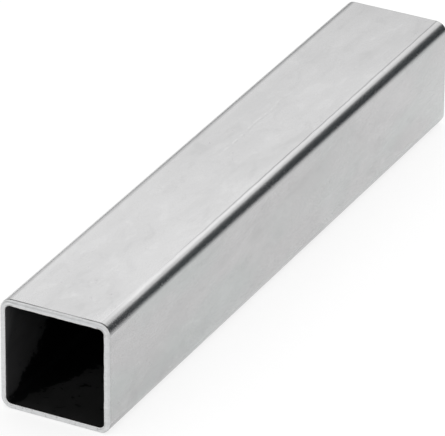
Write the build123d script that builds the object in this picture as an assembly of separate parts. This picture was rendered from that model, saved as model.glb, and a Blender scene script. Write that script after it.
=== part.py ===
from build123d import *
import os

# A cut length of cold-formed square steel tube, in millimetres.
# It lies along Y on its underside, and the origin is the centre of that underside.
side = 40.0                 # outside width and height of the section
wall = 2.0                  # wall thickness, the same all round
inside_corner_radius = 2.0  # bend radius on the bore side of each corner
length = 250.0              # from cut to cut
outer_edge_break = 0.5      # deburring chamfer round the outside of each cut end
bore_edge_break = 0.2       # lighter deburring round the bore of each cut end

# The sheet keeps its thickness round the bends, so each corner's two arcs share a centre.
bore_side = side - 2 * wall
outside_corner_radius = inside_corner_radius + wall


def tube_section():
    outline = RectangleRounded(side, side, outside_corner_radius)
    bore = RectangleRounded(bore_side, bore_side, inside_corner_radius)
    upright_section = Plane.XZ * (outline - bore)
    return Pos(Z=side / 2) * upright_section


def cut_ends(tube):
    return tube.faces().filter_by(Axis.Y)


def break_outer_edges(tube):
    edges = [edge for end in cut_ends(tube) for edge in end.outer_wire().edges()]
    return chamfer(edges, length=outer_edge_break)


def break_bore_edges(tube):
    edges = [edge for end in cut_ends(tube) for wire in end.inner_wires() for edge in wire.edges()]
    return chamfer(edges, length=bore_edge_break)


def square_tube():
    sawn_tube = extrude(tube_section(), amount=length / 2, both=True)
    return break_bore_edges(break_outer_edges(sawn_tube))


os.makedirs("parts", exist_ok=True)
export_step(square_tube(), "parts/square_tube.step")
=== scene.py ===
import math

import bpy
from mathutils import Matrix, Vector


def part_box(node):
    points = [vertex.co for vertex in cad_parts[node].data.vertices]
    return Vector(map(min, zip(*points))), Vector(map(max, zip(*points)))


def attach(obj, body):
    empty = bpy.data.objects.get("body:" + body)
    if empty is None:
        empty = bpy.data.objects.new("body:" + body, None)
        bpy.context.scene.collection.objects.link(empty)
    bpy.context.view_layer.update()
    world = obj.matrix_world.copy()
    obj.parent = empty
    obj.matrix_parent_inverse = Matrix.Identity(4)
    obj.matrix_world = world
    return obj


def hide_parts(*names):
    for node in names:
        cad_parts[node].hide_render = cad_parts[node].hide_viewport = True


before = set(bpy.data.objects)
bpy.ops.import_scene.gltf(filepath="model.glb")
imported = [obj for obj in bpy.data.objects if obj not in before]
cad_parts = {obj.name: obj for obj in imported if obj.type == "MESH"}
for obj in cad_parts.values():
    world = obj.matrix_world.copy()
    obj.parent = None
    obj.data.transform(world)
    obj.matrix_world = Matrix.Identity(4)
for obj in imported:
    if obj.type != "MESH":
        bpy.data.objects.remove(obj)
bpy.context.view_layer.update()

tubeLow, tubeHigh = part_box("square_tube")
mm = 0.001
micron = 0.001 * mm
quarterTurn = math.pi / 2


class Wire:
    # one socket of a node tree, so that node maths reads as a plain expression
    def __init__(self, graph, socket):
        self.graph = graph
        self.socket = socket

    def out(self, name):
        return Wire(self.graph, self.socket.node.outputs[name])

    def part(self, letter):
        return self.graph.node("ShaderNodeSeparateXYZ", {}, {0: self}).out(letter)

    def __add__(self, other):
        return self.graph.math("ADD", self, other)

    def __sub__(self, other):
        return self.graph.math("SUBTRACT", self, other)

    def __rsub__(self, other):
        return self.graph.math("SUBTRACT", other, self)

    def __mul__(self, other):
        return self.graph.math("MULTIPLY", self, other)

    def __truediv__(self, other):
        return self.graph.math("DIVIDE", self, other)

    def __rtruediv__(self, other):
        return self.graph.math("DIVIDE", other, self)

    def __abs__(self):
        return self.graph.math("ABSOLUTE", self)

    def __gt__(self, other):
        return self.graph.math("GREATER_THAN", self, other)

    def __lt__(self, other):
        return self.graph.math("LESS_THAN", self, other)

    __radd__ = __add__
    __rmul__ = __mul__


class Graph:
    def __init__(self, tree):
        self.tree = tree

    def node(self, kind, settings=None, inputs=None, output=0):
        made = self.tree.nodes.new(kind)
        for name, value in (settings or {}).items():
            setattr(made, name, value)
        for name, value in (inputs or {}).items():
            socket = made.inputs[name]
            if isinstance(value, Wire):
                self.tree.links.new(value.socket, socket)
            elif socket.type == "RGBA":
                socket.default_value = (*value[:3], 1)
            else:
                socket.default_value = value
        return Wire(self, made.outputs[output]) if len(made.outputs) else None

    def math(self, operation, *values):
        return self.node("ShaderNodeMath", {"operation": operation}, dict(enumerate(values)))

    def vectorMath(self, operation, inputs, output=0):
        return self.node("ShaderNodeVectorMath", {"operation": operation}, inputs, output)


# small helpers for materials

def newMaterial(name):
    material = bpy.data.materials.new(name)
    material.use_nodes = True
    material.node_tree.nodes.clear()
    return material, Graph(material.node_tree)


def noise(g, at, size, detail=2.0, roughness=0.5, distortion=0.0):
    return g.node("ShaderNodeTexNoise", {}, {
        "Vector": at, "Scale": 1 / size, "Detail": detail,
        "Roughness": roughness, "Distortion": distortion})


def drawnOut(g, at, times):
    # stretches a pattern along the tube
    return g.vectorMath("MULTIPLY", {0: at, 1: (1, 1 / times, 1)})


def moved(g, at, move):
    return g.vectorMath("ADD", {0: at, 1: move})


sideShare = 0.4    # how much of a pattern's turn the sides get


def turned(g, at, degrees, move=(0, 0, 0)):
    # turns a pattern off the tube's run
    angle = math.radians(degrees)
    return g.node("ShaderNodeMapping", {}, {
        "Vector": at, "Location": move, "Rotation": (-sideShare * angle, 0, angle)})


def ease(g, value, start, end):
    # 0 before start, 1 after end, and a soft step between
    return g.node("ShaderNodeMapRange", {"interpolation_type": "SMOOTHSTEP"}, {
        "Value": value, "From Min": start, "From Max": end})


def mixColour(g, factor, first, second):
    return g.node("ShaderNodeMix", {"data_type": "RGBA"}, {0: factor, 6: first, 7: second}, 2)


def scaleColour(g, colour, amount):
    return g.vectorMath("SCALE", {0: colour, "Scale": amount})


def bumps(g, layers):
    # each layer is a height from 0 to 1 and how tall that makes it
    normal = None
    for height, tall in layers:
        inputs = {"Height": height, "Distance": tall, "Strength": 1.0}
        if normal:
            inputs["Normal"] = normal
        normal = g.node("ShaderNodeBump", {}, inputs)
    return normal


def finish(g, colour, roughness, metallic, normal, sheen=0.5):
    shader = g.node("ShaderNodeBsdfPrincipled", {}, {
        "Base Color": colour, "Roughness": roughness, "Metallic": metallic, "Normal": normal,
        "Specular IOR Level": sheen})
    g.node("ShaderNodeOutputMaterial", {}, {"Surface": shader})


tube = {
    "side": tubeHigh.x - tubeLow.x,
    "length": tubeHigh.y - tubeLow.y,
    "wall": 2 * mm,
    "insideCornerRadius": 2 * mm,
    "outerEdgeBreak": 0.5 * mm,
    "boreEdgeBreak": 0.2 * mm,
    "breakWander": 0.25 * mm,     # how far hand filing strays past the outer breaks
    "boreWander": 0.36 * mm,      # how far the bore's breaks fall short on the cut face
    "wanderSize": 3 * mm,
    "seed": 4,
    "cornerSteps": 14,
    "flatSteps": 40,
}


def whereOnTube(g):
    # places that the finishes go by: a point's distance past the start of the nearest bend
    # (below 0 on a flat), whether it is on the top or the underside, its depth in the wall
    # (0 on the skin, the wall's thickness at the bore), and its distance from the nearest cut end
    at = g.node("ShaderNodeTexCoord", output="Object")
    fromCentre = g.vectorMath("SUBTRACT", {0: at, 1: (0, 0, tube["side"] / 2)})
    apart = g.node("ShaderNodeSeparateXYZ", {}, {0: g.vectorMath("ABSOLUTE", {0: fromCentre})})
    radius = tube["insideCornerRadius"] + tube["wall"]
    bendStart = tube["side"] / 2 - radius
    across = apart - bendStart
    up = apart.out("Z") - bendStart
    beyond = g.node("ShaderNodeCombineXYZ", {}, {
        "X": g.math("MAXIMUM", across, 0.0), "Y": g.math("MAXIMUM", up, 0.0)})
    reach = g.vectorMath("LENGTH", {0: beyond}, "Value")
    short = g.math("MINIMUM", g.math("MAXIMUM", across, up), 0.0)
    return {
        "at": at,
        "pastBend": g.math("MINIMUM", across, up),
        "onTop": up > across,
        "depth": radius - (reach + short),
        "fromEnd": tube["length"] / 2 - apart.out("Y"),
    }


# rolled skin

# a pair says where a mark starts to show in its noise, and where it shows in full
skinLook = {
    "grey": (0.6245, 0.6235, 0.6260),
    "cool": (0.604, 0.620, 0.616),        # the tints only show on the sides
    "warm": (0.624, 0.619, 0.621),
    "tintSize": 18 * mm, "tintStretch": 2.5, "tintTurn": 6, "tintMove": (-0.679, 0.628, 0.218),
    "tintSpan": (0.32, 0.62),
    "roughness": 0.27,
    "cloudSize": 17 * mm, "cloudStretch": 3.2, "cloudTurn": 4.3, "cloudMove": (0.127, 0.290, 0.595),
    "cloudShade": 0.23, "cloudGloss": 0.06,
    "blotSize": 6 * mm, "blotStretch": 2.2, "blotTurn": -6, "blotMove": (0.007, 0.003, 0.011),
    "paleBlots": (0.56, 0.70), "darkBlots": (0.46, 0.34), "blotShade": 0.040,
    "scuffSize": 1.5 * mm, "scuffStretch": 2.2, "scuffTurn": 10, "scuffLip": 0.45 * mm,
    "scuffSpan": (0.60, 0.68), "scuffShade": 0.042,
    "rollSize": 0.9 * mm, "rollStretch": 60, "rollShade": 0.03,
    "grainSize": 0.12 * mm, "grainStretch": 2, "grainShade": 0.014, "grainGloss": 0.04,
    "speckSize": 1.1 * mm, "speckStretch": 1.6, "speckSpan": (0.74, 0.80),
    "speckShade": 0.10, "speckGloss": 0.08,
    "patchSize": 7 * mm, "patchTurn": 30, "patchMove": (0.05, 0.02, 0),
    "scuffPatches": (0.48, 0.58), "dragPatches": (0.52, 0.60),
    "dragSize": 0.45 * mm, "dragStretch": 45, "dragTurn": 1.5, "dragMove": (0.02, 0.01, 0),
    "paleDrags": (0.66, 0.74), "darkDrags": (0.34, 0.26), "dragShade": 0.03,
    # each way that scratches lie: its turn in degrees, and its share of the patches
    "scratchWays": ((21, (0.58, 0.64)), (-34, (0.62, 0.68))),
    "scratchSize": 0.30 * mm, "scratchStretch": 10, "scratchSpan": (0.70, 0.80), "scratchShade": 0.08,
    "scrapeAt": -4.1 * mm, "scrapeStart": -4 * mm, "scrapeEnd": 50 * mm, "scrapeWidth": 0.7 * mm,
    "scrapeFadeIn": 8 * mm, "scrapeFadeOut": 12 * mm, "scrapeLip": 0.8, "scrapeShade": 0.09,
    "scrapeWander": 2.5 * mm, "scrapeWanderSize": 14 * mm,
    "scrapeGapSize": 3.5 * mm, "scrapeGapMove": (0.04, 0, 0), "scrapeGaps": (0.40, 0.55),
    "witnessAt": 0.2 * mm, "witnessWidth": 0.45 * mm, "witnessShade": 0.42, "witnessGloss": 0.08,
    "witnessStart": -105 * mm, "witnessFull": -30 * mm, "witnessLeast": 0.6, "witnessMore": 0.7,
    "witnessSize": 8 * mm, "witnessStretch": 5, "witnessMove": (0.013, 0.031, 0),
    "swaySize": 5 * mm, "swayStretch": 1.5, "swayMove": (0.021, 0.017, 0), "swayReach": 0.6 * mm,
    "elsewhere": 0.15,                    # how much of the witness line and the painted shade line other edges show
    "bendEdge": 0.5 * mm, "bendShade": -0.05, "bendGloss": 0.01, "bendLines": 0.06,
    "paintedBendFrom": -100 * mm, "paintedBendFull": -121 * mm, "paintedBendAmount": 0.17,
    "paleBandReach": 3 * mm, "paleBandShade": 0.02,
    "paintedLineAt": 0.72 * mm, "paintedLineWidth": 0.7 * mm, "paintedLineShade": 0.95,
    "paintedLineLeast": 0.5, "paintedLineSpan": (0.35, 0.55),
    "waviness": 30 * micron, "rollDepth": 0.8 * micron, "grainDepth": 0.2 * micron,
}


def rolledSkin(look):
    material, g = newMaterial("rolledSkin")
    place = whereOnTube(g)
    at, pastBend, onTop = place["at"], place["pastBend"], place["onTop"]
    alongTube, onRight = at.part("Y"), at.part("X") > 0

    # soft clouds, darker and paler blots, side tints, roll lines along the run, and fine grain
    slanted = drawnOut(g, turned(g, at, look["cloudTurn"], look["cloudMove"]), look["cloudStretch"])
    clouds = noise(g, slanted, look["cloudSize"], detail=3, roughness=0.55, distortion=0.3)
    billow = noise(g, slanted, look["cloudSize"], detail=1)
    blotted = drawnOut(g, turned(g, at, look["blotTurn"], look["blotMove"]), look["blotStretch"])
    blotNoise = noise(g, blotted, look["blotSize"], roughness=0.55, distortion=0.6)
    blots = ease(g, blotNoise, *look["paleBlots"]) - ease(g, blotNoise, *look["darkBlots"])
    tintedAt = drawnOut(g, turned(g, at, look["tintTurn"], look["tintMove"]), look["tintStretch"])
    tint = noise(g, tintedAt, look["tintSize"])
    rolled = noise(g, drawnOut(g, at, look["rollStretch"]), look["rollSize"])
    grain = noise(g, drawnOut(g, at, look["grainStretch"]), look["grainSize"], detail=1)

    # scuffs lie in patches, each a pale mark with a dark lip beside it
    patches = noise(g, turned(g, at, look["patchTurn"], look["patchMove"]), look["patchSize"])
    scuffs = 0
    for aside, sign in ((0, 1), (look["scuffLip"], -1)):
        marked = turned(g, at, look["scuffTurn"], (aside, aside, aside))
        marked = drawnOut(g, marked, look["scuffStretch"])
        scuffed = noise(g, marked, look["scuffSize"], roughness=0.6)
        scuffs = scuffs + ease(g, scuffed, *look["scuffSpan"]) * sign
    scuffs = scuffs * ease(g, patches, *look["scuffPatches"])

    # a few dark specks, long drag marks, and short scratches lying two ways
    speckNoise = noise(g, drawnOut(g, at, look["speckStretch"]), look["speckSize"], detail=1)
    specks = ease(g, speckNoise, *look["speckSpan"])
    draggedAt = drawnOut(g, turned(g, at, look["dragTurn"], look["dragMove"]), look["dragStretch"])
    dragged = noise(g, draggedAt, look["dragSize"], detail=1)
    drags = (ease(g, dragged, *look["paleDrags"]) - ease(g, dragged, *look["darkDrags"])) \
        * ease(g, patches, *look["dragPatches"])
    scratches = 0
    for degrees, share in look["scratchWays"]:
        scoredAt = drawnOut(g, turned(g, at, degrees), look["scratchStretch"])
        scored = noise(g, scoredAt, look["scratchSize"], detail=0)
        scratches = scratches + ease(g, scored, *look["scratchSpan"]) * ease(g, patches, *share)

    # one long broken scrape on the top, pale with a darker lip
    wander = noise(g, at, look["scrapeWanderSize"], detail=1)
    offScrape = at.part("X") - look["scrapeAt"] + (wander - 0.5) * look["scrapeWander"]
    gaps = noise(g, moved(g, at, look["scrapeGapMove"]), look["scrapeGapSize"], detail=1)
    scraped = onTop * ease(g, gaps, *look["scrapeGaps"]) \
        * ease(g, alongTube, look["scrapeStart"], look["scrapeStart"] + look["scrapeFadeIn"]) \
        * ease(g, alongTube, look["scrapeEnd"], look["scrapeEnd"] - look["scrapeFadeOut"])
    lip = ease(g, abs(offScrape - look["scrapeWidth"]), look["scrapeWidth"], 0.0)
    scrape = scraped * (ease(g, abs(offScrape), look["scrapeWidth"], 0.0) - lip * look["scrapeLip"])

    # the line that the rolls leave where a flat meets its bend, plain along one edge of the top
    lineAt = drawnOut(g, moved(g, at, look["witnessMove"]), look["witnessStretch"])
    lineNoise = noise(g, lineAt, look["witnessSize"], detail=3)
    sway = noise(g, drawnOut(g, moved(g, at, look["swayMove"]), look["swayStretch"]), look["swaySize"])
    awayFromLine = abs(pastBend - look["witnessAt"] + (sway - 0.5) * look["swayReach"])
    pressed = ease(g, alongTube, look["witnessStart"], look["witnessFull"]) \
        * (look["witnessLeast"] + lineNoise * look["witnessMore"])
    witness = (1 - ease(g, awayFromLine, 0.0, look["witnessWidth"])) * pressed \
        * (look["elsewhere"] + onTop * onRight * (1 - look["elsewhere"]))

    # bends are polished by the rolls, and the flats just beside them are a little paler; the right bends
    # get painted shade near the near mouth, which dims their highlight
    bend = ease(g, pastBend, 0.0, look["bendEdge"])
    paleBand = ease(g, pastBend, -look["paleBandReach"], 0.0) - bend
    paintedBendShade = bend * onRight * ease(g, alongTube, look["paintedBendFrom"], look["paintedBendFull"])

    # painted shade: a dark line on the top just behind the cut end's outer break, full at the near end
    # and faint at the far one
    breakEdge = (1 - ease(g, abs(place["fromEnd"] - look["paintedLineAt"]), 0.0, look["paintedLineWidth"])) * onTop \
        * (look["paintedLineLeast"] + ease(g, clouds, *look["paintedLineSpan"]) * (1 - look["paintedLineLeast"])) \
        * (look["elsewhere"] + (alongTube < 0) * (1 - look["elsewhere"]))

    shade = 1 + scrape * look["scrapeShade"] + (clouds - 0.5) * look["cloudShade"] \
        + blots * look["blotShade"] + drags * look["dragShade"] + scuffs * look["scuffShade"] \
        + (rolled - 0.5) * (look["rollShade"] + bend * look["bendLines"]) \
        + (grain - 0.5) * look["grainShade"] + scratches * look["scratchShade"] \
        - specks * look["speckShade"] - witness * look["witnessShade"] - breakEdge * look["paintedLineShade"] \
        + bend * look["bendShade"] + paleBand * look["paleBandShade"] - paintedBendShade * look["paintedBendAmount"]
    tinted = mixColour(g, ease(g, tint, *look["tintSpan"]), look["cool"], look["warm"])
    colour = scaleColour(g, mixColour(g, onTop, tinted, look["grey"]), shade)
    roughness = look["roughness"] + (clouds - 0.5) * look["cloudGloss"] \
        + (grain - 0.5) * look["grainGloss"] + specks * look["speckGloss"] \
        + witness * look["witnessGloss"] - bend * look["bendGloss"]
    normal = bumps(g, [
        (billow, look["waviness"]), (rolled, look["rollDepth"]), (grain, look["grainDepth"])])
    finish(g, colour, roughness, 1.0, normal)
    return material


# sawn ends

endLook = {
    "grey": (0.697, 0.703, 0.707),
    "breakEdge": (0.716, 0.720, 0.722),   # the outer break
    "tornAndPaintedGlint": (0.84, 0.84, 0.838),      # the bore's edge: torn bright metal, partly a painted glint
    "roughness": 0.42, "filedRoughness": 0.50,
    "filedFrom": 0.03 * mm, "filedBy": 0.12 * mm,     # back from the cut
    "tornFrom": 0.4 * mm, "tornBy": 0.2 * mm,         # short of the bore
    "sideBreakPaintedLight": 0.12, "topBreakPaintedShade": -0.04,
    "burr": 0.7,                      # how far the bore's edge is too torn to shine
    "sawPitch": 0.5 * mm, "sawTurn": 12, "sawStretch": 25, "sawShade": 0.16, "sawDepth": 6 * micron,
    "mottleSize": 2.2 * mm, "mottleShade": 0.36, "mottleGloss": 0.12, "mottleDepth": 4 * micron,
    "pitSize": 1.0 * mm, "pitSpan": (0.56, 0.68), "pitShade": 0.24,
    "footSpan": (3 * mm, 2 * mm),     # the height by which the ring's foot starts and is full
    "pitsAbove": 0.35,                # the share of the pits that the ring has above its foot
}


def sawnEnd(look):
    material, g = newMaterial("sawnEnd")
    place = whereOnTube(g)
    at, depth, onTop = place["at"], place["depth"], place["onTop"]
    angled = g.node("ShaderNodeMapping", {}, {
        "Vector": at, "Rotation": (0, math.radians(look["sawTurn"]), 0)})
    acrossRing = g.vectorMath("MULTIPLY", {0: angled, 1: (1 / look["sawStretch"], 1, 1)})
    strokes = noise(g, acrossRing, look["sawPitch"])
    mottle = noise(g, at, look["mottleSize"], detail=4, roughness=0.65)
    pitNoise = noise(g, at, look["pitSize"], roughness=0.6)
    atFoot = ease(g, at.part("Z"), *look["footSpan"])
    pits = ease(g, pitNoise, *look["pitSpan"]) * (look["pitsAbove"] + atFoot * (1 - look["pitsAbove"]))

    # both edges of the wall were filed after the cut
    boreEdge = ease(g, depth, tube["wall"] - look["tornFrom"], tube["wall"] - look["tornBy"])
    outerEdge = ease(g, place["fromEnd"], look["filedFrom"], look["filedBy"])
    edges = g.math("MAXIMUM", boreEdge, outerEdge)
    # painted light on the outer break: a painted highlight on the sides and painted shade on the top
    paintedBreakShading = look["sideBreakPaintedLight"] + onTop * (look["topBreakPaintedShade"] - look["sideBreakPaintedLight"])
    shade = 1 + (strokes - 0.5) * look["sawShade"] + (mottle - 0.5) * look["mottleShade"] \
        - pits * look["pitShade"] + outerEdge * paintedBreakShading
    dressed = mixColour(g, boreEdge, mixColour(g, outerEdge, look["grey"], look["breakEdge"]), look["tornAndPaintedGlint"])
    colour = scaleColour(g, dressed, shade)
    roughness = look["roughness"] + edges * (look["filedRoughness"] - look["roughness"]) \
        + (mottle - 0.5) * look["mottleGloss"]
    normal = bumps(g, [(strokes, look["sawDepth"]), (mottle, look["mottleDepth"])])
    finish(g, colour, roughness, 1 - boreEdge * look["burr"], normal)
    return material


# bore

boreLook = {
    "scaleAndShade": (0.0015, 0.0015, 0.0018),    # mill scale deep in, painted near black as the bore's shade
    "dusted": (0.037, 0.037, 0.038),      # painted light near a mouth
    "floorShadeTone": (0.013, 0.013, 0.013),        # painted light near a mouth, darker on the lower wall as painted shade
    "paleBand": (0.085, 0.085, 0.087),      # painted light just inside the mouth's edge
    "smudge": (0.001, 0.001, 0.001),
    "litStart": 6 * mm, "litUp": 1.3, "litAcross": 2.6, "litMost": 48 * mm,
    "litFrom": 2 * mm, "litEdge": 1.5 * mm, "raggedness": 24 * mm, "fraying": 16 * mm,
    "floorSpan": (0.5 * mm, 2.5 * mm),    # the height in which the lower wall turns into the sides
    "floorShadeSpan": (4 * mm, 34 * mm),         # how far in the lower wall's painted shade starts to thin, and ends
    "litLeast": 0.6, "litMore": 0.8,
    "paleBandReach": 2.4 * mm, "paleBandRise": 8 * mm,
    "paleBandSpan": (18 * mm, 36 * mm),     # the height in which the band of painted light widens
    "smudgeSize": 6 * mm, "smudgeStretch": 2, "smudgeGloss": 0.2,
    "drawnSize": 0.8 * mm, "drawnStretch": 25, "drawnGloss": 0.1,
    "fraySize": 2.4 * mm, "spotSize": 3.4 * mm, "spotStretch": 0.6, "spotSpan": (0.66, 0.70),
    "spotsAbove": 0.2,                    # the share of the spots above the lower wall
    "roughness": 0.6, "sheen": 0.15,
    "scaleDepth": 20 * micron, "drawnDepth": 3 * micron,
}


def scaledBore(look):
    material, g = newMaterial("scaledBore")
    place = whereOnTube(g)
    at, fromEnd = place["at"], place["fromEnd"]
    smudgedAt = drawnOut(g, at, look["smudgeStretch"])
    smudges = noise(g, smudgedAt, look["smudgeSize"], detail=4, roughness=0.65, distortion=0.8)
    drawn = noise(g, drawnOut(g, at, look["drawnStretch"]), look["drawnSize"], detail=3)
    frays = noise(g, at, look["fraySize"], roughness=0.6)
    spots = noise(g, drawnOut(g, at, look["spotStretch"]), look["spotSize"], detail=1, distortion=0.6)

    # painted light falling in at the mouths, reaching further in the further it is from the lower left
    # corner
    up = at.part("Z") - tube["wall"]
    across = at.part("X") + tube["side"] / 2 - tube["wall"]
    onFloor = 1 - ease(g, up, *look["floorSpan"])
    litDepthOnSides = (1 - onFloor) * look["litStart"] + up * look["litUp"]
    litDepthOnFloor = (across - look["litFrom"]) * look["litAcross"]
    litDepth = g.math("MAXIMUM", litDepthOnSides, litDepthOnFloor)
    frayed = (smudges - 0.5) * look["raggedness"] + (frays - 0.5) * look["fraying"]
    beyond = fromEnd + frayed - g.math("MINIMUM", litDepth, look["litMost"])
    paintedLit = 1 - ease(g, beyond, -look["litEdge"], look["litEdge"])
    # painted shade: the lower wall near a mouth takes a darker tone than the painted light
    paintedFloorShade = onFloor * (1 - ease(g, fromEnd, *look["floorShadeSpan"]))
    dust = scaleColour(g, mixColour(g, paintedFloorShade, look["dusted"], look["floorShadeTone"]),
                       look["litLeast"] + smudges * look["litMore"])
    # painted light: a pale band just inside the mouth's edge, wider higher up
    paleBandReach = look["paleBandReach"] + ease(g, up, *look["paleBandSpan"]) * look["paleBandRise"]
    paleBand = (1 - ease(g, fromEnd / paleBandReach, 0, 1)) * (1 - onFloor)
    walls = mixColour(g, paleBand, mixColour(g, paintedLit, look["scaleAndShade"], dust), look["paleBand"])
    spotted = ease(g, spots, *look["spotSpan"]) \
        * (look["spotsAbove"] + onFloor * (1 - look["spotsAbove"]))
    colour = mixColour(g, spotted, walls, look["smudge"])
    roughness = look["roughness"] + (smudges - 0.5) * look["smudgeGloss"] \
        + (drawn - 0.5) * look["drawnGloss"]
    normal = bumps(g, [(smudges, look["scaleDepth"]), (drawn, look["drawnDepth"])])
    finish(g, colour, roughness, 0.0, normal, look["sheen"])
    return material


# the tube's mesh

def newGroup(name, sizes):
    kinds = {int: "NodeSocketInt", float: "NodeSocketFloat", bpy.types.Material: "NodeSocketMaterial"}
    tree = bpy.data.node_groups.new(name, "GeometryNodeTree")
    for label, value in sizes.items():
        made = tree.interface.new_socket(label, in_out="INPUT", socket_type=kinds[type(value)])
        made.default_value = value
    tree.interface.new_socket("Geometry", in_out="OUTPUT", socket_type="NodeSocketGeometry")
    graph = Graph(tree)
    entry = graph.node("NodeGroupInput")
    return graph, {label: entry.out(label) for label in sizes}


def makeTubeTree(sizes, skin, sawn, bore):
    g, size = newGroup("squareTubeTree", {
        "Side": sizes["side"], "Length": sizes["length"], "Wall": sizes["wall"],
        "Inside corner radius": sizes["insideCornerRadius"],
        "Outer edge break": sizes["outerEdgeBreak"], "Bore edge break": sizes["boreEdgeBreak"],
        "Break wander": sizes["breakWander"], "Bore wander": sizes["boreWander"],
        "Wander size": sizes["wanderSize"], "Seed": sizes["seed"],
        "Corner steps": sizes["cornerSteps"], "Flat steps": sizes["flatSteps"],
        "Rolled skin": skin, "Sawn end": sawn, "Bore": bore})

    # middle of the wall, walked round the section: a bend, then a flat, four times
    middleRadius = size["Inside corner radius"] + size["Wall"] / 2
    bendCentre = size["Side"] / 2 - size["Inside corner radius"] - size["Wall"]
    quarterSteps = size["Corner steps"] + size["Flat steps"]
    index = g.node("GeometryNodeInputIndex")
    quarter = g.math("FLOOR", index / quarterSteps)
    step = index - quarter * quarterSteps
    turn = g.math("MINIMUM", step / size["Corner steps"], 1) * quarterTurn
    share = g.math("MAXIMUM", step - size["Corner steps"], 0) / size["Flat steps"]
    # steps crowd towards the bends, so that the flats stay flat when shaded
    run = (1 - g.math("COSINE", share * math.pi)) * bendCentre
    x = bendCentre + middleRadius * g.math("COSINE", turn) - run
    y = bendCentre + middleRadius * g.math("SINE", turn)
    corner = g.node("ShaderNodeCombineXYZ", {}, {"X": x, "Y": y})
    place = g.node("ShaderNodeVectorRotate", {"rotation_type": "Z_AXIS"},
                   {"Vector": corner, "Angle": quarter * quarterTurn})
    line = g.node("GeometryNodeCurvePrimitiveLine")
    walk = g.node("GeometryNodeResampleCurve", {"mode": "COUNT"},
                  {"Curve": line, "Count": quarterSteps * 4})
    path = g.node("GeometryNodeSetPosition", {}, {"Geometry": walk, "Position": place})
    ring = g.node("GeometryNodeSetSplineCyclic", {}, {"Geometry": path, "Cyclic": True})

    # the wall cut lengthways, with its edge breaks at both cut ends
    oblong = g.node("GeometryNodeCurvePrimitiveQuadrilateral", {},
                    {"Width": size["Wall"], "Height": size["Length"]})
    depth = g.node("ShaderNodeSeparateXYZ", {}, {"Vector": g.node("GeometryNodeInputPosition")})
    edgeBreak = g.node("GeometryNodeSwitch", {"input_type": "FLOAT"}, {
        "Switch": depth > 0, "False": size["Bore edge break"], "True": size["Outer edge break"]})
    wallSlice = g.node("GeometryNodeFilletCurve", {"mode": "POLY"}, {
        "Curve": oblong, "Count": 1, "Radius": edgeBreak})
    upright = g.node("GeometryNodeCurveToMesh", {}, {"Curve": ring, "Profile Curve": wallSlice})
    laid = g.node("GeometryNodeTransform", {}, {
        "Geometry": upright, "Rotation": (quarterTurn, 0, 0)})
    lift = g.node("ShaderNodeCombineXYZ", {}, {"Z": size["Side"] / 2})
    raised = g.node("GeometryNodeSetPosition", {}, {"Geometry": laid, "Offset": lift})

    # filing by hand leaves the breaks uneven: the outer ones stray along the skin,
    # and the bore's fall short on the cut face
    spot = g.node("GeometryNodeInputPosition")
    at = g.node("ShaderNodeSeparateXYZ", {}, {"Vector": spot})
    slack = 0.1    # how far off a rim its points may be found, as a share of the break
    fromEnd = size["Length"] / 2 - abs(at.out("Y"))
    offBreak = abs(fromEnd - size["Outer edge break"])
    onRim = offBreak < size["Outer edge break"] * slack
    stray = g.node("ShaderNodeTexNoise", {"noise_dimensions": "4D"}, {
        "Vector": spot, "W": size["Seed"], "Scale": 1 / size["Wander size"], "Detail": 2.0})
    inward = stray * size["Break wander"] * g.math("SIGN", at.out("Y"))
    strayed = g.node("GeometryNodeSetPosition", {}, {
        "Geometry": raised, "Selection": onRim,
        "Offset": g.node("ShaderNodeCombineXYZ", {}, {"Y": 0 - inward})})
    across = g.node("ShaderNodeCombineXYZ", {}, {"X": at, "Z": at.out("Z") - size["Side"] / 2})
    farCore = g.node("ShaderNodeCombineXYZ", {}, {"X": bendCentre, "Z": bendCentre})
    nearCore = g.vectorMath("SCALE", {0: farCore, "Scale": -1.0})
    core = g.vectorMath("MINIMUM", {0: g.vectorMath("MAXIMUM", {0: across, 1: nearCore}), 1: farCore})
    outward = g.vectorMath("SUBTRACT", {0: across, 1: core})
    outDistance = g.vectorMath("LENGTH", {0: outward}, "Value")
    boreRim = size["Inside corner radius"] + size["Bore edge break"]
    onBoreRim = (fromEnd < size["Bore edge break"] * slack) \
        * (abs(outDistance - boreRim) < size["Bore edge break"] * slack)
    evened = g.node("GeometryNodeSetPosition", {}, {
        "Geometry": strayed, "Selection": onBoreRim,
        "Offset": g.vectorMath("SCALE", {
            0: g.vectorMath("NORMALIZE", {0: outward}), "Scale": stray * size["Bore wander"] * -1.0})})
    smooth = g.node("GeometryNodeSetShadeSmooth", {}, {"Geometry": evened})

    # which material each face takes
    boreSlack = 0.02    # and off the bore's flats, as a share of the wall
    onEnd = fromEnd < size["Outer edge break"] * (1 - slack)
    halfBore = size["Side"] / 2 - size["Wall"]
    reach = g.math("MAXIMUM", abs(at), abs(at.out("Z") - size["Side"] / 2))
    inBore = reach < halfBore + size["Wall"] * boreSlack
    whole = g.node("GeometryNodeRealizeInstances", {}, {"Geometry": smooth})
    skinned = g.node("GeometryNodeSetMaterial", {}, {"Geometry": whole, "Material": size["Rolled skin"]})
    bored = g.node("GeometryNodeSetMaterial", {}, {
        "Geometry": skinned, "Selection": inBore, "Material": size["Bore"]})
    sawnOff = g.node("GeometryNodeSetMaterial", {}, {
        "Geometry": bored, "Selection": onEnd, "Material": size["Sawn end"]})
    g.node("NodeGroupOutput", {}, {"Geometry": sawnOff})
    return g.tree


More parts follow.
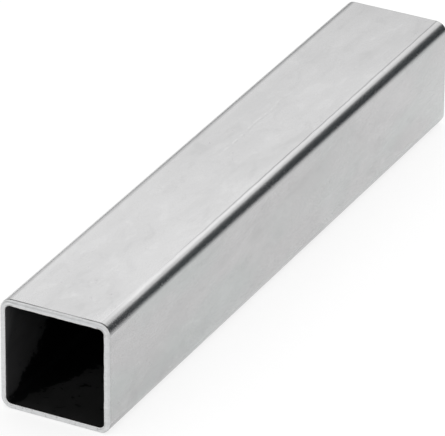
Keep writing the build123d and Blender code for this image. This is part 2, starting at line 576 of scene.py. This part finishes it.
def runTree(name, tree):
    # evaluates the tree once and keeps its result as a plain mesh
    holder = bpy.data.objects.new(name + "Holder", bpy.data.meshes.new(name + "Empty"))
    bpy.context.scene.collection.objects.link(holder)
    modifier = holder.modifiers.new(name, "NODES")
    modifier.node_group = tree
    for item in tree.interface.items_tree:
        if item.in_out == "INPUT":
            modifier[item.identifier] = item.default_value
    bpy.context.view_layer.update()
    seen = holder.evaluated_get(bpy.context.evaluated_depsgraph_get())
    made = bpy.data.objects.new(name, bpy.data.meshes.new_from_object(seen))
    bpy.context.scene.collection.objects.link(made)
    bpy.data.objects.remove(holder)
    return made


skin, sawn, bore = rolledSkin(skinLook), sawnEnd(endLook), scaledBore(boreLook)
print("materials: rolled skin, sawn ends and bore")

tubeTree = makeTubeTree(tube, skin, sawn, bore)
piece = runTree("squareTube", tubeTree)
piece.modifiers.new("flatShading", "WEIGHTED_NORMAL")
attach(piece, "root")
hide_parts("square_tube")
print("tube:", len(piece.data.polygons), "faces")


# camera

camera = {
    "azimuth": 27.149, "elevation": 28.042, "roll": 0.581,
    "lens": 423.52, "distance": 1764.1 * mm,
    "aim": Vector((-0.988, -6.630, 18.124)) * mm,
    "reach": 100,    # metres, past the floor's far edge
}


def addCamera(view):
    data = bpy.data.cameras.new("camera")
    data.lens = view["lens"]
    data.clip_end = view["reach"]
    made = bpy.data.objects.new("camera", data)
    turn = Matrix.Rotation(math.radians(view["azimuth"]), 4, "Z")
    tilt = Matrix.Rotation(math.radians(90 - view["elevation"]), 4, "X")
    roll = Matrix.Rotation(math.radians(view["roll"]), 4, "Z")
    facing = turn @ tilt @ roll
    back = facing @ Vector((0, 0, 1))
    made.matrix_world = Matrix.Translation(view["aim"] + back * view["distance"]) @ facing
    bpy.context.scene.collection.objects.link(made)
    bpy.context.scene.camera = made


addCamera(camera)
print("camera: placed")


# studio

white = (1, 1, 1)
worldLook = {"strength": 1.0}
floorLook = {"reach": 40.0, "grey": 0.28, "glow": 0.75}    # metres from the middle to each side


def addMesh(name, points, faces, material):
    mesh = bpy.data.meshes.new(name)
    mesh.from_pydata(points, [], faces)
    mesh.materials.append(material)
    made = bpy.data.objects.new(name, mesh)
    bpy.context.scene.collection.objects.link(made)
    return made


def paleFloor(look):
    material, g = newMaterial("paleFloor")
    grey = look["grey"]
    matt = g.node("ShaderNodeBsdfDiffuse", {}, {"Color": (grey, grey, grey)})
    # the camera and mirror rays see the floor lifted to white, with the tube's shadow still on it
    rays = g.node("ShaderNodeLightPath")
    mirrored = g.math("MAXIMUM", rays.out("Is Glossy Ray"), rays.out("Is Transmission Ray"))
    seen = g.math("MAXIMUM", rays, mirrored)
    glow = g.node("ShaderNodeEmission", {}, {"Color": white, "Strength": look["glow"]})
    lifted = g.node("ShaderNodeAddShader", {}, {0: matt, 1: glow})
    both = g.node("ShaderNodeMixShader", {}, {"Fac": seen, 1: matt, 2: lifted})
    g.node("ShaderNodeOutputMaterial", {}, {"Surface": both})
    return material


def addFloor(look):
    far = look["reach"]
    corners = [(-far, -far, 0), (far, -far, 0), (far, far, 0), (-far, far, 0)]
    addMesh("floor", corners, [(0, 1, 2, 3)], paleFloor(look))


def addWorld(look):
    world = bpy.data.worlds.new("studio")
    world.use_nodes = True
    world.node_tree.nodes.clear()
    g = Graph(world.node_tree)
    sky = g.node("ShaderNodeBackground", {}, {"Color": white, "Strength": look["strength"]})
    g.node("ShaderNodeOutputWorld", {}, {"Surface": sky})
    bpy.context.scene.world = world


# black gauze sheets that only mirror rays meet, so the metal has something dark to show;
# each has a corner, the run of its long edge, and the rise of its other edge, in metres,
# and each fade is the share of that run or rise that it takes
gauzeBlack = (0.012, 0.021, 0.027)
noFades = {"fadeStart": 0.0, "fadeEnd": 0.0, "fadeFoot": 0.0, "fadeTop": 0.0, "footDensity": 0.0}
gauzes = {
    "rightScreen": {**noFades, "corner": (0.11, 0.72, 0.0), "run": (0.62, -0.48, 0),
                    "rise": (0, 0, 0.50), "density": 0.97,
                    "fadeStart": 0.2, "fadeEnd": 0.2, "fadeTop": 0.03},
    "rightMat": {**noFades, "corner": (0.022, -0.34, 0.002), "run": (0, 0.70, 0),
                 "rise": (0.31, 0.44, 0), "density": 0.92, "footDensity": 0.09,
                 "fadeStart": 0.15, "fadeEnd": 0.2, "fadeFoot": 0.62},
    # painted shadow: a dark gauze at the tube's right foot stands in for its contact shadow, as mirror
    # rays see the floor
    "contactShadowGauze": {**noFades, "corner": (0.0165, -0.125, 0.0003), "run": (0, 0.25, 0),
                   "rise": (0.0095, 0, 0), "density": 0.16, "fadeTop": 1.0},
    # painted shadow: a dark gauze beside the tube's right side stands in for the floor's shade there, as
    # mirror rays see it
    "nearShadowGauze": {**noFades, "corner": (0.021, -0.20, 0.001), "run": (0, 0.40, 0),
                "rise": (0.045, 0, 0), "density": 0.12,
                "fadeStart": 0.15, "fadeEnd": 0.85, "fadeTop": 1.0},
    "leftScreen": {**noFades, "corner": (-0.40, 0.1, 0.04), "run": (0.55, 0.5, 0),
                   "rise": (0, 0, 0.09), "density": 0.72,
                   "fadeStart": 0.2, "fadeEnd": 0.4, "fadeTop": 0.4},
    "leftVeil": {**noFades, "corner": (-0.42, 0.12, 0.09), "run": (0.55, 0.5, 0),
                 "rise": (0, 0, 0.17), "density": 0.13,
                 "fadeStart": 0.2, "fadeEnd": 0.4, "fadeFoot": 0.3, "fadeTop": 0.7},
    "frontRightScreen": {**noFades, "corner": (0.62, -0.28, 0.0), "run": (-0.50, -0.45, 0),
                         "rise": (0, 0, 0.25), "density": 0.85,
                         "fadeStart": 0.25, "fadeEnd": 0.25, "fadeTop": 0.4},
    "frontLeftScreen": {**noFades, "corner": (-0.12, -0.73, 0.0), "run": (-0.50, 0.45, 0),
                        "rise": (0, 0, 0.25), "density": 0.85,
                        "fadeStart": 0.25, "fadeEnd": 0.25, "fadeTop": 0.4},
}


def gauze(name, look):
    material, g = newMaterial(name)
    at = g.node("ShaderNodeSeparateXYZ", {}, {0: g.node("ShaderNodeUVMap", {"uv_map": "gauze"})})
    density = look["density"]
    if look["fadeFoot"]:
        rising = ease(g, at.out("Y"), 0, look["fadeFoot"])
        density = look["footDensity"] + rising * (look["density"] - look["footDensity"])
    for place, start, end in ((at, 0, look["fadeStart"]), (at, 1, 1 - look["fadeEnd"]),
                              (at.out("Y"), 1, 1 - look["fadeTop"])):
        if start != end:
            density = density * ease(g, place, start, end)
    clear = g.node("ShaderNodeBsdfTransparent")
    black = g.node("ShaderNodeBsdfDiffuse", {}, {"Color": gauzeBlack})
    both = g.node("ShaderNodeMixShader", {}, {"Fac": density, 1: clear, 2: black})
    g.node("ShaderNodeOutputMaterial", {}, {"Surface": both})
    return material


def addGauze(name, look):
    corner, run, rise = (Vector(look[key]) for key in ("corner", "run", "rise"))
    made = addMesh(name, [corner, corner + run, corner + run + rise, corner + rise],
                   [(0, 1, 2, 3)], gauze(name, look))
    layer = made.data.uv_layers.new(name="gauze")
    for loop, share in zip(layer.data, ((0, 0), (1, 0), (1, 1), (0, 1))):
        loop.uv = share
    made.visible_camera = False
    made.visible_diffuse = False
    made.visible_shadow = False


softbox = {"power": 0.70, "size": 0.80, "bearing": -16, "elevation": 50, "distance": 1.3}


def addSoftbox(look):
    data = bpy.data.lights.new("softbox", "AREA")
    data.shape = "DISK"
    data.size = look["size"]
    data.energy = look["power"]
    lamp = bpy.data.objects.new("softbox", data)
    bearing, up = math.radians(look["bearing"]), math.radians(look["elevation"])
    towards = Vector((math.sin(bearing) * math.cos(up), math.cos(bearing) * math.cos(up), math.sin(up)))
    aimed = towards.to_track_quat("Z", "Y").to_matrix().to_4x4()
    lamp.matrix_world = Matrix.Translation(towards * look["distance"]) @ aimed
    bpy.context.scene.collection.objects.link(lamp)


addWorld(worldLook)
addFloor(floorLook)
for name, look in gauzes.items():
    addGauze(name, look)
addSoftbox(softbox)
bpy.context.scene.view_settings.view_transform = "Standard"
print("studio: floor, gauzes, softbox and world placed")
